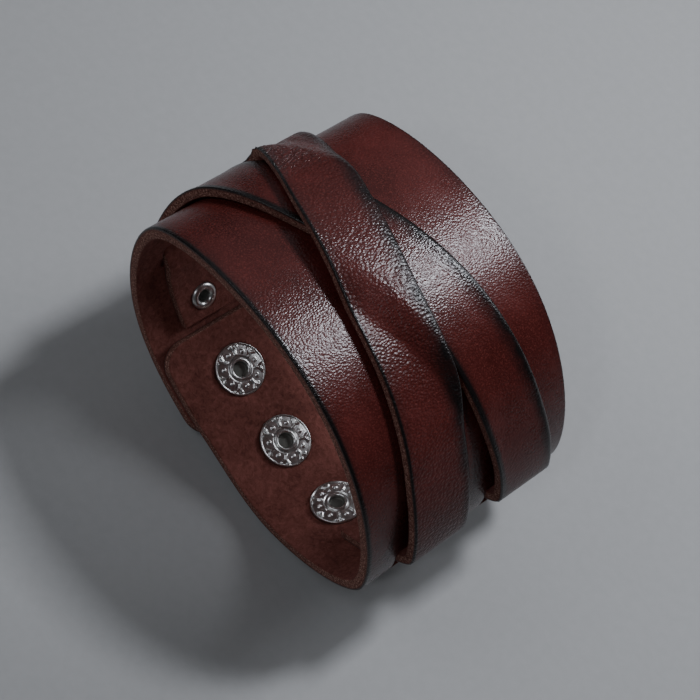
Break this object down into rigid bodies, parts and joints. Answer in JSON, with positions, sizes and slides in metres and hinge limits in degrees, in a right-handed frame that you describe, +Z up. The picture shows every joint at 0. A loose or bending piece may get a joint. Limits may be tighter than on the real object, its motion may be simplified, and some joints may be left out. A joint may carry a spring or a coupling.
{
  "type": "leather wrap cuff bracelet",
  "caption": "Wide dark red-brown leather wrist cuff, closed with snap fasteners, with narrow leather straps crossing over its front through slots.",
  "frame": {"origin": "middle of the outline on the surface that the closed bracelet stands on", "axes": "+Z up, Y along the wrist's axis with the visible open side towards -Y, X across the closed loop with the adjusting studs towards +X"},
  "size_m": [0.074, 0.046, 0.0585],
  "materials": {
    "band_leather": "semi-gloss oil-tanned grain side, suede flesh side",
    "strap_leather": "semi-gloss oil-tanned grain side, dark dyed edges",
    "snap_metal": "bright nickel plate"
  },
  "bodies": {
    "root": {"band": "band_leather", "strap_under": "strap_leather", "strap_over": "strap_leather", "eyelet_near_1": "snap_metal", "eyelet_near_2": "snap_metal", "eyelet_near_3": "snap_metal", "eyelet_far_1": "snap_metal", "eyelet_far_2": "snap_metal", "eyelet_far_3": "snap_metal", "stud_near_1": "snap_metal", "stud_near_2": "snap_metal", "stud_near_3": "snap_metal", "stud_far_1": "snap_metal", "stud_far_2": "snap_metal", "stud_far_3": "snap_metal", "socket_near": "snap_metal", "socket_far": "snap_metal", "cap_near": "snap_metal", "cap_far": "snap_metal", "rivet_under_cap_end": "snap_metal", "rivet_under_stud_end": "snap_metal", "rivet_over_cap_end": "snap_metal", "rivet_over_stud_end": "snap_metal"}
  },
  "joints": []
}
